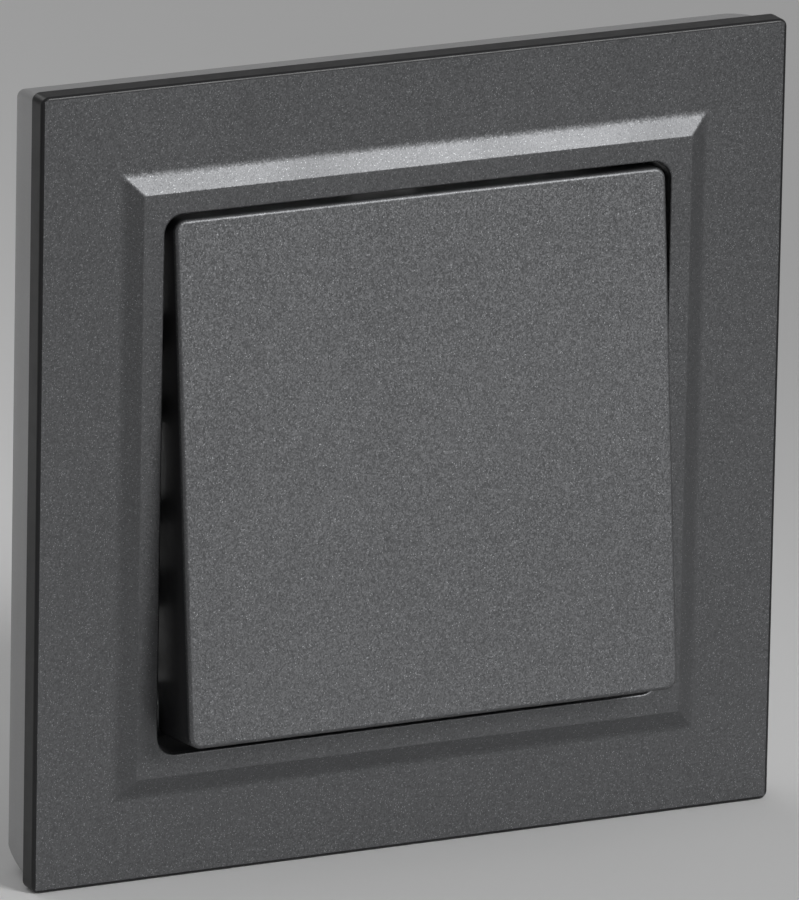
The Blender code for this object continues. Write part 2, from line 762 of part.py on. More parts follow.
def key_hook(x, side_z, root):
    """A hook behind the panel whose catch reaches under the carrier's plate."""
    inner = CRADLE_HALF_Z + GAP
    catch_y = KEY_FACE + KEY_PANEL + GAP + CRADLE_PLATE + GAP
    x_range = (x - HOOK_HALF_WIDTH, x + HOOK_HALF_WIDTH)
    arm_z = tuple(sorted((side_z * inner, side_z * (inner + HOOK_THICKNESS))))
    catch_z = tuple(sorted((side_z * (inner - HOOK_CATCH), side_z * (inner + HOOK_THICKNESS / 2))))
    arm = box(x_range, (root, catch_y + HOOK_CATCH_HEIGHT), arm_z)
    return add(arm, box(x_range, (catch_y, catch_y + HOOK_CATCH_HEIGHT), catch_z))


def make_rocker_cradle(pivot):
    """The carrier, modelled about its pivot: plate, two cheeks with trunnions, and the hollow stem."""
    front = KEY_FACE + KEY_PANEL + GAP
    back = front + CRADLE_PLATE
    outline = rounded_rectangle(CRADLE_HALF_X, CRADLE_HALF_Z, WALL)
    cradle = prism(outline, front, back, along_y)
    root = back - CRADLE_PLATE / 2
    for side_x in (-1, 1):
        outline = [(root, CHEEK_HALF_Z), (root, -CHEEK_HALF_Z)]
        for step in range(9):
            angle = math.radians(22.5 * step)
            outline.append((KNUCKLE_RADIUS * math.sin(angle), -KNUCKLE_RADIUS * math.cos(angle)))
        inner = CRADLE_HALF_X - CHEEK_THICKNESS
        low, high = sorted((side_x * inner, side_x * CRADLE_HALF_X))
        add(cradle, prism(outline, low, high, along_x))
        start = (side_x * (CRADLE_HALF_X - CHEEK_THICKNESS / 2), 0, 0)
        add(cradle, rod(TRUNNION_RADIUS, start, (side_x * TRUNNION_END, 0, 0), 24))
    add(cradle, rod(STEM_RADIUS, (0, root, 0), (0, STEM_END, 0), 32))
    cut(cradle, rod(STEM_BORE, (0, STEM_FLOOR, 0), (0, STEM_END + CUT, 0), 32))
    finish(cradle, "rocker_cradle", "white_plastic", pivot)


def make_plunger(pivot):
    """The pin that runs in the stem and presses on the bridge with its round nose."""
    seat = STEM_FLOOR + GAP + SPRING_LENGTH + SPRING_WIRE * 2 + GAP
    profile = [(seat, 0.0), (seat, PLUNGER_RADIUS), (PLUNGER_SHOULDER, PLUNGER_RADIUS)]
    centre = PLUNGER_TIP - PLUNGER_NOSE_RADIUS
    for step in range(7):
        angle = math.radians(15) * step
        along = centre + PLUNGER_NOSE_RADIUS * math.sin(angle)
        profile.append((along, PLUNGER_NOSE_RADIUS * math.cos(angle)))
    plunger = turned(profile, (0, 0, 0), (0, 1, 0), 28)
    finish(plunger, "plunger", "grey_plastic", pivot)


def make_plunger_spring(pivot):
    """A coil between the stem's floor and the plunger, as a tube along a helix."""
    bm = bmesh.new()
    around = 8
    steps = int(SPRING_TURNS * 16)
    start = STEM_FLOOR + GAP + SPRING_WIRE
    rings = []
    for step in range(steps + 1):
        share = step / steps
        angle = math.tau * SPRING_TURNS * share
        outward = Vector((math.cos(angle), 0, math.sin(angle)))
        centre = outward * SPRING_RADIUS + Vector((0, start + SPRING_LENGTH * share, 0))
        ring = []
        for k in range(around):
            turn = math.tau * k / around
            offset = outward * math.cos(turn) + Vector((0, 1, 0)) * math.sin(turn)
            ring.append(bm.verts.new(centre + offset * SPRING_WIRE))
        rings.append(ring)
    for ring, other in zip(rings, rings[1:]):
        bridge(bm, ring, other)
    bm.faces.new(rings[0])
    bm.faces.new(rings[-1])
    finish(new_object("spring", bm), "plunger_spring", "spring_steel", pivot)


# --- Contacts and terminals -----------------------------------------------------------------------


def make_bridge(pivot):
    """The see-saw contact, modelled about the line it rocks on, and its rivet."""
    half = BRIDGE_THICKNESS / 2
    outline = rounded_rectangle(BRIDGE_HALF_WIDTH, BRIDGE_HALF_LENGTH, BRIDGE_HALF_WIDTH / 3)
    strip = prism(outline, -half, half, along_y)
    cut(strip, rod(TIP_SHANK + GAP, (0, -half - CUT, -TIP_Z), (0, half + CUT, -TIP_Z), 20))
    finish(strip, "moving_contact", "brass", pivot)
    tip = rivet(BRIDGE_THICKNESS, (0, -half, -TIP_Z), (0, 1, 0))
    finish(tip, "moving_contact_tip", "silver", pivot)


def rivet(sheet, start, axis):
    """A contact rivet clinched through a sheet that begins at start. Its domed face points along axis."""
    clinch = TIP_HEIGHT * 0.6
    head = sheet + GAP
    profile = [
        (-GAP - clinch, 0.0),
        (-GAP - clinch, TIP_RADIUS * 0.75),
        (-GAP, TIP_RADIUS * 0.85),
        (-GAP, TIP_SHANK),
        (head, TIP_SHANK),
        (head, TIP_RADIUS),
        (head + TIP_HEIGHT * 0.5, TIP_RADIUS),
        (head + TIP_HEIGHT * 0.85, TIP_RADIUS * 0.7),
        (head + TIP_HEIGHT, 0.0),
    ]
    return turned(profile, start, axis, 24)


def bent_strip(path):
    """A strip of constant width bent along a path of (y, z) corners."""
    half = STRIP_THICKNESS / 2
    left, right = [], []
    for index, point in enumerate(path):
        here = Vector(point)
        before = (here - Vector(path[max(index - 1, 0)])).normalized()
        after = (Vector(path[min(index + 1, len(path) - 1)]) - here).normalized()
        normal = sum(((Vector((-d.y, d.x))) for d in (before, after)), Vector((0, 0)))
        corner = index not in (0, len(path) - 1)
        offset = normal * half if corner else normal.normalized() * half
        left.append(tuple(here + offset))
        right.append(tuple(here - offset))
    return prism(left + right[::-1], -STRIP_HALF_WIDTH, STRIP_HALF_WIDTH, along_x)


def make_common_contact():
    """A bent strip: knife edge under the bridge, web on its seat, and the tongue in the upper cage."""
    edge_y = bridge_y() + BRIDGE_THICKNESS / 2 + GAP
    knife_y = edge_y + STRIP_THICKNESS
    path = [(knife_y, 0.0), (STRIP_Y, 0.0), (STRIP_Y, TONGUE_Z), (TONGUE_END, TONGUE_Z)]
    strip = bent_strip(path)
    half = STRIP_THICKNESS / 2
    wedge = [(knife_y + half, half), (knife_y + half, -half), (edge_y, -KNIFE_EDGE), (edge_y, KNIFE_EDGE)]
    add(strip, prism(wedge, -STRIP_HALF_WIDTH, STRIP_HALF_WIDTH, along_x))
    finish(strip, "common_contact", "brass")


def make_fixed_contact():
    dome_y, dome_z = fixed_tip_place()
    strip = bent_strip([(STRIP_Y, -FIXED_STRIP_END), (STRIP_Y, -TONGUE_Z), (TONGUE_END, -TONGUE_Z)])
    rear = STRIP_Y + STRIP_THICKNESS / 2
    front = rear - STRIP_THICKNESS
    cut(strip, rod(TIP_SHANK + GAP, (0, front - CUT, dome_z), (0, rear + CUT, dome_z), 20))
    finish(strip, "fixed_contact", "brass")
    head = front - GAP
    face = dome_y + GAP
    profile = [
        (0.0, 0.0),
        (0.12 * MM, TIP_RADIUS * 0.7),
        (0.35 * MM, TIP_RADIUS),
        (head - face, TIP_RADIUS),
        (head - face, TIP_SHANK),
        (rear - face, TIP_SHANK),
        (rear - face, 0.0),
    ]
    tip = turned(profile, (0, face, dome_z), (0, 1, 0), 24)
    finish(tip, "fixed_contact_tip", "silver")


def make_terminal(name, side_z):
    """A rising cage around a tongue, and the screw that lifts it. side_z is 1 above and -1 below."""
    outer = tuple(sorted(side_z * z for z in CAGE_Z))
    inner = tuple(sorted(side_z * z for z in CAGE_INNER_Z))
    cage = box((-CAGE_HALF_X, CAGE_HALF_X), CAGE_Y, outer)
    inner_x = CAGE_HALF_X - CAGE_SIDE
    cut(cage, box((-inner_x, inner_x), (CAGE_Y[0] - CUT, CAGE_Y[1] + CUT), inner))
    hole_start = (0, TERMINAL_Y, side_z * (CAGE_INNER_Z[1] - CUT))
    hole_end = (0, TERMINAL_Y, side_z * (CAGE_Z[1] + CUT))
    cut(cage, rod(CAGE_SCREW_RADIUS + GAP, hole_start, hole_end, 24))
    finish(cage, f"terminal_cage_{name}", "brass")
    tip_z = TONGUE_Z + STRIP_THICKNESS / 2 + GAP
    length = CAGE_HEAD_Z[1] - tip_z
    head = CAGE_HEAD_Z[0] - tip_z
    profile = [
        (0.0, 0.0),
        (0.0, CAGE_SCREW_RADIUS * 0.8),
        (0.3 * MM, CAGE_SCREW_RADIUS),
        (head, CAGE_SCREW_RADIUS),
        (head, CAGE_SCREW_HEAD),
        (length - 0.3 * MM, CAGE_SCREW_HEAD),
        (length, CAGE_SCREW_HEAD - 0.3 * MM),
        (length, 0.0),
    ]
    screw = turned(profile, (0, TERMINAL_Y, side_z * tip_z), (0, 0, side_z), 28)
    top = CAGE_HEAD_Z[1]
    slot_z = tuple(sorted((side_z * (top - SCREW_SLOT_DEPTH), side_z * (top + CUT))))
    y_range = (TERMINAL_Y - SCREW_SLOT / 2, TERMINAL_Y + SCREW_SLOT / 2)
    cut(screw, box((-CAGE_SCREW_HEAD - CUT, CAGE_SCREW_HEAD + CUT), y_range, slot_z))
    finish(screw, f"terminal_screw_{name}", "zinc_steel")
    set_origin(screw, (0, TERMINAL_Y, side_z * tip_z))


# --- Screws and claws -----------------------------------------------------------------------------


def machine_screw(name, head_centre, length, end, slot_turn):
    """A slotted pan-head screw along +Y. head_centre is the middle of the face under its head."""
    end_length, end_radius = end
    profile = [
        (-SCREW_HEAD_HEIGHT, 0.0),
        (-SCREW_HEAD_HEIGHT, SCREW_HEAD_RADIUS * 0.7),
        (-SCREW_HEAD_HEIGHT * 0.8, SCREW_HEAD_RADIUS * 0.92),
        (-SCREW_HEAD_HEIGHT * 0.5, SCREW_HEAD_RADIUS),
        (0.0, SCREW_HEAD_RADIUS),
        (0.0, SCREW_RADIUS),
        (length - end_length, SCREW_RADIUS),
        (length, end_radius),
        (length, 0.0),
    ]
    screw = turned(profile, (0, 0, 0), (0, 1, 0), 28)
    front = -SCREW_HEAD_HEIGHT
    slot_x = (-SCREW_HEAD_RADIUS - CUT, SCREW_HEAD_RADIUS + CUT)
    slot_z = (-SCREW_SLOT / 2, SCREW_SLOT / 2)
    cut(screw, box(slot_x, (front - CUT, front + SCREW_SLOT_DEPTH), slot_z))
    screw.data.transform(Matrix.Rotation(slot_turn, 4, "Y"))
    finish(screw, name, "zinc_steel")
    screw.location = head_centre


def make_housing_screws():
    for name, (x, z) in zip(("upper", "lower"), housing_screw_places()):
        head_centre = (x, COVER_FRONT - GAP, z)
        turn = math.radians(35 if name == "upper" else 110)
        machine_screw(f"housing_screw_{name}", head_centre, HOUSING_SCREW_LENGTH, SCREW_END, turn)


def claw_washer_back():
    """The washer stands off the plate by the screw's travel while the claw is folded in."""
    return PLATE_FRONT - GAP - CLAW_TURNS * PITCH


def make_claw_drive(name, side_x):
    x = side_x * CLAW_SCREW_X
    back = claw_washer_back()
    washer = rod(WASHER_RADIUS, (x, back - WASHER_THICKNESS, 0), (x, back, 0), 28)
    hole_end = (x, back + CUT, 0)
    cut(washer, rod(SCREW_RADIUS + GAP, (x, back - WASHER_THICKNESS - CUT, 0), hole_end, 24))
    finish(washer, f"claw_washer_{name}", "zinc_steel")
    head_back = back - WASHER_THICKNESS - GAP
    length = CLAW_ARM_Y - GAP - head_back
    turn = math.radians(60 * side_x)
    machine_screw(f"claw_screw_{name}", (x, head_back, 0.0), length, CLAW_SCREW_END, turn)


def make_claw(name, side_x):
    """A pressed claw: arm under the screw, leg with teeth, and two ears with hinge pins."""
    leg = (CLAW_HINGE_X, CLAW_HINGE_X + CLAW_SHEET)
    z_range = (-CLAW_HALF_Z + CLAW_SHEET / 2, CLAW_HALF_Z - CLAW_SHEET / 2)
    arm_y = (CLAW_ARM_Y, CLAW_ARM_Y + CLAW_SHEET)
    claw = mirrored_box(side_x, (CLAW_ARM_END_X, leg[1]), arm_y, z_range)
    add(claw, mirrored_box(side_x, leg, (CLAW_ARM_Y, CLAW_FOOT_Y), z_range))
    for side_z in (-1, 1):
        ear_z = tuple(sorted((side_z * (CLAW_HALF_Z - CLAW_SHEET), side_z * CLAW_HALF_Z)))
        add(claw, claw_ear(side_x, ear_z))
        x = side_x * CLAW_HINGE_X
        pin_start = (x, CLAW_HINGE_Y, side_z * (CLAW_HALF_Z - CLAW_SHEET / 2))
        pin_end = (x, CLAW_HINGE_Y, side_z * (CLAW_HALF_Z + GAP + CLAW_SHEET))
        add(claw, rod(CLAW_PIN_RADIUS, pin_start, pin_end, 16))
    add(claw, claw_teeth(side_x, leg[1], z_range))
    finish(claw, f"claw_{name}", "zinc_steel")
    set_origin(claw, (side_x * CLAW_HINGE_X, CLAW_HINGE_Y, 0.0))


def claw_ear(side_x, z_range):
    """A flange beside the leg, rounded about the hinge."""
    outline = [(CLAW_HINGE_X + CLAW_SHEET, CLAW_ARM_Y + 6 * CLAW_SHEET)]
    outline.append((CLAW_HINGE_X, CLAW_ARM_Y + 6 * CLAW_SHEET))
    outline.append((CLAW_HINGE_X - 3 * CLAW_SHEET, CLAW_ARM_Y + CLAW_SHEET))
    outline.append((CLAW_HINGE_X - 3 * CLAW_SHEET, CLAW_ARM_Y))
    for step in range(7):
        angle = math.radians(180 - 30 * step)
        u = CLAW_HINGE_X + CLAW_EAR_RADIUS * math.cos(angle)
        outline.append((u, CLAW_HINGE_Y - CLAW_EAR_RADIUS * math.sin(angle)))
    points = [(side_x * u, v) for u, v in outline]
    return prism(points, z_range[0], z_range[1], along_z)


def claw_teeth(side_x, leg_face, z_range):
    """A saw-toothed edge bent outwards at the leg's foot."""
    teeth = 4
    width = (z_range[1] - z_range[0]) / teeth
    root = leg_face - CLAW_SHEET / 2
    outline = [(root, z_range[1]), (root, z_range[0])]
    for tooth in range(teeth):
        low = z_range[0] + tooth * width
        outline.append((leg_face + 0.4 * MM, low))
        outline.append((leg_face + CLAW_TOOTH, low + width / 2))
    outline.append((leg_face + 0.4 * MM, z_range[1]))
    points = [(side_x * u, v) for u, v in outline]
    return prism(points, CLAW_FOOT_Y - CLAW_SHEET, CLAW_FOOT_Y, along_y)


# --- Assembly -------------------------------------------------------------------------------------


def clear_scene():
    for obj in list(bpy.data.objects):
        bpy.data.objects.remove(obj)


def make_materials():
    for name, (colour, roughness, metallic) in MATERIALS.items():
        material = bpy.data.materials.new(name)
        material.use_nodes = True
        shader = material.node_tree.nodes["Principled BSDF"]
        shader.inputs["Base Color"].default_value = (*colour, 1.0)
        shader.inputs["Roughness"].default_value = roughness
        shader.inputs["Metallic"].default_value = metallic


def main():
    clear_scene()
    make_materials()
    make_frame_cover()
    make_frame_base()
    make_support_plate()
    make_housing_cover()
    make_housing_base()
    make_housing_screws()
    key_pivot = empty("key_pivot", (0, PIVOT_Y, 0), -TILT)
    make_rocker(key_pivot)
    make_rocker_cradle(key_pivot)
    make_plunger(key_pivot)
    make_plunger_spring(key_pivot)
    make_bridge(empty("bridge_pivot", (0, bridge_y(), 0), BRIDGE_TILT))
    make_common_contact()
    make_fixed_contact()
    make_terminal("line", 1)
    make_terminal("load", -1)
    for name, side_x in (("left", -1), ("right", 1)):
        make_claw(name, side_x)
        make_claw_drive(name, side_x)


main()
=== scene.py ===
"""The looks of a flush rocker wall switch: lacquered frame and key, carrier, plate, mechanism and claws.

Metres, +Z up. The wall plane is y = 0, the switch faces -Y, and its mechanism reaches back along +Y.
"""

import math

import bmesh
import bpy
from mathutils import Matrix, Vector


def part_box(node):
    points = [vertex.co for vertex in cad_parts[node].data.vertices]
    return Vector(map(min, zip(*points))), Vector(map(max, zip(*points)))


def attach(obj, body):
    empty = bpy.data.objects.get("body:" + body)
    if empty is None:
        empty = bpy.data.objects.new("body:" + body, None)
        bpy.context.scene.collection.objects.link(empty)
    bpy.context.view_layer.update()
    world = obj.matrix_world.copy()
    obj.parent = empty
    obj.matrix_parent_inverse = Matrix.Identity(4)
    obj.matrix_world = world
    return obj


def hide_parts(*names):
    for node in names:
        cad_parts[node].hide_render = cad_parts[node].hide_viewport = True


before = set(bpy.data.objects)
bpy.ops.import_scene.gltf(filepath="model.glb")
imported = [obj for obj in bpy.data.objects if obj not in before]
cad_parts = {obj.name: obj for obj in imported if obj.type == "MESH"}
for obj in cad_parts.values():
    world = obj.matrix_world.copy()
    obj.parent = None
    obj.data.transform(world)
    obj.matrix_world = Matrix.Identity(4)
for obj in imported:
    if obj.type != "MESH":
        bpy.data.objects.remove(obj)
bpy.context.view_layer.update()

MM = 0.001
CORNER_STEPS = 10
FILLET_STEPS = 5
HOLD = 0.02 * MM  # a supporting loop this close to a fillet keeps the flat beside it flat

# Frame
FACE_Y = -9.8 * MM
SHELL_REAR_Y = -7.2 * MM
SHELL_HALF = 42.5 * MM
SHELL_CORNER = 0.9 * MM
SHELL_WALL = 1.4 * MM
FACE_WALL = 1.5 * MM
FACE_INSET = 0.35 * MM
PAINT = 0.25 * MM
PAINT_CORNER = 0.15 * MM
RIM_FOOT_HALF = 33.7 * MM
RIM_HALF = 31.2 * MM
RIM_HEIGHT = 0.9 * MM
RIM_CORNER = 0.25 * MM
RIM_FILLET = 0.35  # share of the rim's slope that is rounded into the face
RIM_EDGE = 0.12 * MM  # width of the rounding at the rim's front edge
RIM_STEPS = 15
OPENING_HALF = 28.9 * MM
OPENING_CORNER = 2.1 * MM
LIP = 0.2 * MM
FLANGE_WALL = 1.4 * MM
FLANGE_END_Y = -4.6 * MM
SNAP_OFFSET = 12.0 * MM
SNAP_HALF_WIDTH = 1.7 * MM
SNAP_Y = (-6.6 * MM, -5.4 * MM)
SNAP_REACH = 1.1 * MM

# Key, given about its pivot before it is tilted
PIVOT = Vector((0, -5.1 * MM, 0))
TILT = math.radians(-5.9)
KEY_HALF_X = 28.0 * MM
KEY_HALF_Z = 27.65 * MM
KEY_FACE = -9.0 * MM
KEY_BACK = -1.0 * MM
KEY_CORNER = 1.3 * MM
KEY_EDGE = 0.4 * MM
KEY_WALL = 1.4 * MM
KEY_PANEL = 1.6 * MM

# Screws: head height, head radius and shank radius; length and radius of the tapered end
SMALL_SCREW = (1.8 * MM, 2.6 * MM, 1.5 * MM)
TERMINAL_SCREW = (2.0 * MM, 2.8 * MM, 1.6 * MM)
BLUNT_END = (0.4 * MM, 1.0 * MM)
POINTED_END = (1.2 * MM, 0.3 * MM)
THREAD_PITCH = 0.5 * MM
SLOT_WIDTH = 0.7 * MM
SLOT_DEPTH = 0.9 * MM

# Camera
CAMERA_AZIMUTH = math.radians(-26.024)
CAMERA_ELEVATION = math.radians(16.493)
CAMERA_ROLL = math.radians(1.092)
CAMERA_DISTANCE = 1.59686
CAMERA_TARGET = Vector((-1.39 * MM, -9.8 * MM, 0.71 * MM))
CAMERA_LENS = 618.25

# Stage
FLOOR_Z = -SHELL_HALF
FLOOR_REACH = 3.2
SWEEP_RADIUS = 0.6
BACKDROP_TOP = 3.2


# --- Meshes ---------------------------------------------------------------------------------------


def new_piece(name, bm, body, slot, *nodes):
    """The bmesh as a piece that rides on a body, takes its finish from a slot and replaces CAD nodes."""
    mesh = bpy.data.meshes.new(name)
    bm.to_mesh(mesh)
    bm.free()
    piece = bpy.data.objects.new(name, mesh)
    bpy.context.collection.objects.link(piece)
    mesh.shade_smooth()
    mesh.set_sharp_from_angle(angle=math.radians(35))
    mesh.materials.append(MATERIALS[slot])
    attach(piece, body)
    if nodes:
        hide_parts(*nodes)
    return piece


def rounded_loop(bm, half_x, half_z, y, corner):
    """The edges of a rectangle with rounded corners that faces the front."""
    turn = Matrix.Rotation(math.radians(90), 3, "X")
    verts = bmesh.ops.create_grid(bm, x_segments=1, y_segments=1, size=1.0)["verts"]
    bmesh.ops.scale(bm, vec=(half_x, half_z, 1.0), verts=verts)
    bmesh.ops.rotate(bm, cent=(0, 0, 0), matrix=turn, verts=verts)
    bmesh.ops.translate(bm, vec=(0, y, 0), verts=verts)
    bmesh.ops.bevel(
        bm,
        geom=verts,
        offset=corner,
        offset_type="OFFSET",
        segments=CORNER_STEPS,
        profile=0.5,
        affect="VERTICES",
        material=-1,
    )
    bmesh.ops.delete(bm, geom=list(bm.faces), context="FACES_ONLY")
    return list(bm.edges)


def carried(point, old, new):
    """A point of one rounded rectangle, carried to the same place of another."""
    place = []
    for value, old_half, new_half in ((point.x, old[0], new[0]), (point.z, old[1], new[1])):
        side = math.copysign(1.0, value)
        turn = (value - side * (old_half - old[3])) / old[3]
        place.append(side * (new_half - new[3]) + turn * new[3])
    return Vector((place[0], new[2], place[1]))


def loft(bm, levels, closed):
    """Extrudes a rounded rectangle from level to level, each (half x, half z, y, corner).

    closed brings the last level back to the first; otherwise both ends are capped. bm starts empty.
    """
    first = rounded_loop(bm, *levels[0])
    loop = first
    for old, new in zip(levels, levels[1:] + levels[:1] if closed else levels[1:]):
        grown = bmesh.ops.extrude_edge_only(bm, edges=loop)["geom"]
        verts = {item for item in grown if isinstance(item, bmesh.types.BMVert)}
        for vert in verts:
            vert.co = carried(vert.co, old, new)
        edges = [item for item in grown if isinstance(item, bmesh.types.BMEdge)]
        loop = [edge for edge in edges if edge.verts[0] in verts and edge.verts[1] in verts]
    if not closed:
        bmesh.ops.contextual_create(bm, geom=first)
        bmesh.ops.contextual_create(bm, geom=loop)
    outward(bm)


def square_levels(section):
    """Section points (half, y, corner) as loft levels of a square."""
    return [(half, half, y, corner) for half, y, corner in section]


def outward(bm):
    bmesh.ops.remove_doubles(bm, verts=bm.verts, dist=1e-7)
    bmesh.ops.recalc_face_normals(bm, faces=bm.faces)


def block(bm, low, high, bevel, matrix=None):
    """A box between two corners with bevelled edges, turned by matrix about the origin."""
    made = bmesh.ops.create_cube(bm, size=1.0)
    verts = made["verts"]
    size = Vector(high) - Vector(low)
    bmesh.ops.scale(bm, vec=size, verts=verts)
    bmesh.ops.translate(bm, vec=(Vector(high) + Vector(low)) / 2, verts=verts)
    if matrix:
        bmesh.ops.transform(bm, matrix=matrix, verts=verts)
    edges = list({edge for vert in verts for edge in vert.link_edges})
    edges.sort(key=lambda edge: tuple((edge.verts[0].co + edge.verts[1].co) / 2))
    bmesh.ops.bevel(
        bm,
        geom=edges,
        offset=bevel,
        offset_type="OFFSET",
        segments=2,
        profile=0.5,
        affect="EDGES",
        material=-1,
    )


def turn_profile(bm, profile, start, axis, steps):
    """A full turn of (along, radius) points about an axis through start."""
    direction = Vector(axis).normalized()
    across = direction.orthogonal().normalized()
    points = [Vector(start) + direction * along + across * radius for along, radius in profile]
    verts = [bm.verts.new(point) for point in points]
    edges = [bm.edges.new(pair) for pair in zip(verts, verts[1:])]
    bmesh.ops.spin(
        bm,
        geom=verts + edges,
        cent=start,
        axis=direction,
        angle=math.tau,
        steps=steps,
        use_merge=True,
    )


def wind_thread(bm, start, axis, radius, depth, turns):
    """A V-shaped ridge wound right-handed about an axis, from start along it."""
    direction = Vector(axis).normalized()
    across = direction.orthogonal().normalized()
    start = Vector(start)
    half = THREAD_PITCH * 0.42
    section = [(-half, -depth * 0.4), (0.0, depth), (half, -depth * 0.4)]
    verts = [bm.verts.new(start + direction * a + across * (radius + r)) for a, r in section]
    face = bm.faces.new(verts)
    steps = int(turns * 20)
    bmesh.ops.spin(
        bm,
        geom=[face],
        cent=start,
        axis=direction,
        angle=math.tau * turns,
        dvec=direction * (THREAD_PITCH * turns / steps),
        steps=steps,
        use_merge=False,
    )


# --- Node groups ----------------------------------------------------------------------------------


def new_group(name, inputs, outputs):
    """A shader node group with float inputs (name, default) and outputs (name, socket type)."""
    group = bpy.data.node_groups.new(name, "ShaderNodeTree")
    for label, default in inputs:
        socket = group.interface.new_socket(label, in_out="INPUT", socket_type="NodeSocketFloat")
        socket.default_value = default
    for label, kind in outputs:
        group.interface.new_socket(label, in_out="OUTPUT", socket_type=kind)
    entry = group.nodes.new("NodeGroupInput")
    leave = group.nodes.new("NodeGroupOutput")
    return group, entry, leave


def add_node(tree, kind, inputs=None, **settings):
    """A node with its settings, and its inputs set to values or linked from sockets."""
    node = tree.nodes.new(kind)
    for key, value in settings.items():
        setattr(node, key, value)
    for key, value in (inputs or {}).items():
        if isinstance(value, bpy.types.NodeSocket):
            tree.links.new(value, node.inputs[key])
        else:
            node.inputs[key].default_value = value
    return node


def object_coordinates(tree):
    return add_node(tree, "ShaderNodeTexCoord").outputs["Object"]


def arithmetic(tree, operation, first, second, clamp=False):
    node = add_node(tree, "ShaderNodeMath", {0: first, 1: second}, operation=operation, use_clamp=clamp)
    return node.outputs[0]


def remap(tree, value, low, high, to_low=0.0, to_high=1.0):
    inputs = {"Value": value, "From Min": low, "From Max": high, "To Min": to_low, "To Max": to_high}
    return add_node(tree, "ShaderNodeMapRange", inputs).outputs["Result"]


def noise(tree, scale, detail=3.0, roughness=0.5):
    inputs = {"Vector": object_coordinates(tree), "Scale": scale, "Detail": detail, "Roughness": roughness}
    return add_node(tree, "ShaderNodeTexNoise", inputs).outputs["Fac"]


def mix_colour(tree, factor, first, second):
    inputs = {0: factor, 6: first, 7: second}
    node = add_node(tree, "ShaderNodeMix", inputs, data_type="RGBA")
    return node.outputs[2]


def make_flake_group():
    """Metal flakes in lacquer: a mask of bright flakes, a faint mottle, and each flake's own tilt."""
    inputs = [("Scale", 6000.0), ("Share", 0.1), ("Tilt", 0.2)]
    outputs = [("Flake", "NodeSocketFloat"), ("Mottle", "NodeSocketFloat"), ("Normal", "NodeSocketVector")]
    group, entry, leave = new_group("Metal flakes", inputs, outputs)
    cells = add_node(
        group,
        "ShaderNodeTexVoronoi",
        {"Vector": object_coordinates(group), "Scale": entry.outputs["Scale"], "Randomness": 1.0},
        feature="F1",
    )
    parts = add_node(group, "ShaderNodeSeparateColor", {"Color": cells.outputs["Color"]})
    threshold = arithmetic(group, "SUBTRACT", 1.0, entry.outputs["Share"])
    chosen = arithmetic(group, "GREATER_THAN", parts.outputs["Red"], threshold)
    middle = remap(group, cells.outputs["Distance"], 0.25, 0.55, 1.0, 0.0)
    size = arithmetic(group, "MULTIPLY", chosen, middle)
    flake = arithmetic(group, "MULTIPLY", size, parts.outputs["Green"])
    centred = add_node(
        group,
        "ShaderNodeVectorMath",
        {0: cells.outputs["Color"], 1: (0.5, 0.5, 0.5)},
        operation="SUBTRACT",
    )
    scaled = add_node(
        group,
        "ShaderNodeVectorMath",
        {0: centred.outputs[0], "Scale": entry.outputs["Tilt"]},
        operation="SCALE",
    )
    surface = add_node(group, "ShaderNodeNewGeometry").outputs["Normal"]
    tilted = add_node(group, "ShaderNodeVectorMath", {0: surface, 1: scaled.outputs[0]}, operation="ADD")
    unit = add_node(group, "ShaderNodeVectorMath", {0: tilted.outputs[0]}, operation="NORMALIZE")
    group.links.new(flake, leave.inputs["Flake"])
    group.links.new(parts.outputs["Blue"], leave.inputs["Mottle"])
    group.links.new(unit.outputs[0], leave.inputs["Normal"])
    return group


def make_wear_group():
    """Edge wear: a mask that is 1 on convex edges and fades away unevenly."""
    inputs = [("Amount", 0.5), ("Scale", 900.0)]
    group, entry, leave = new_group("Edge wear", inputs, [("Wear", "NodeSocketFloat")])
    convex = add_node(group, "ShaderNodeNewGeometry").outputs["Pointiness"]
    edge = remap(group, convex, 0.52, 0.62)
    uneven = remap(group, noise(group, entry.outputs["Scale"], 4.0), 0.35, 0.65)
    worn = arithmetic(group, "MULTIPLY", edge, uneven)
    amount = arithmetic(group, "MULTIPLY", worn, entry.outputs["Amount"], clamp=True)
    group.links.new(amount, leave.inputs["Wear"])
    return group


def make_grain_group():
    """Moulded grain: a fine height and a slow drift of tone."""
    outputs = [("Height", "NodeSocketFloat"), ("Drift", "NodeSocketFloat")]
    group, entry, leave = new_group("Moulded grain", [("Scale", 4000.0)], outputs)
    slow_scale = arithmetic(group, "MULTIPLY", entry.outputs["Scale"], 0.02)
    group.links.new(noise(group, entry.outputs["Scale"], 4.0, 0.6), leave.inputs["Height"])
    group.links.new(noise(group, slow_scale, 2.0), leave.inputs["Drift"])
    return group


def place_group(tree, group, **inputs):
    node = tree.nodes.new("ShaderNodeGroup")
    node.node_tree = group
    for key, value in inputs.items():
        node.inputs[key].default_value = value
    return node


# --- Materials ------------------------------------------------------------------------------------


def new_material(name, metallic, specular=0.5):
    """A material with its Principled shader, which keeps its plain values on its own sockets."""
    material = bpy.data.materials.new(name)
    material.use_nodes = True
    tree = material.node_tree
    shader = tree.nodes["Principled BSDF"]
    shader.inputs["Metallic"].default_value = metallic
    shader.inputs["Specular IOR Level"].default_value = specular
    return material, tree, shader


def bump(tree, height, distance, strength=1.0):
    inputs = {"Height": height, "Distance": distance, "Strength": strength}
    return add_node(tree, "ShaderNodeBump", inputs).outputs["Normal"]


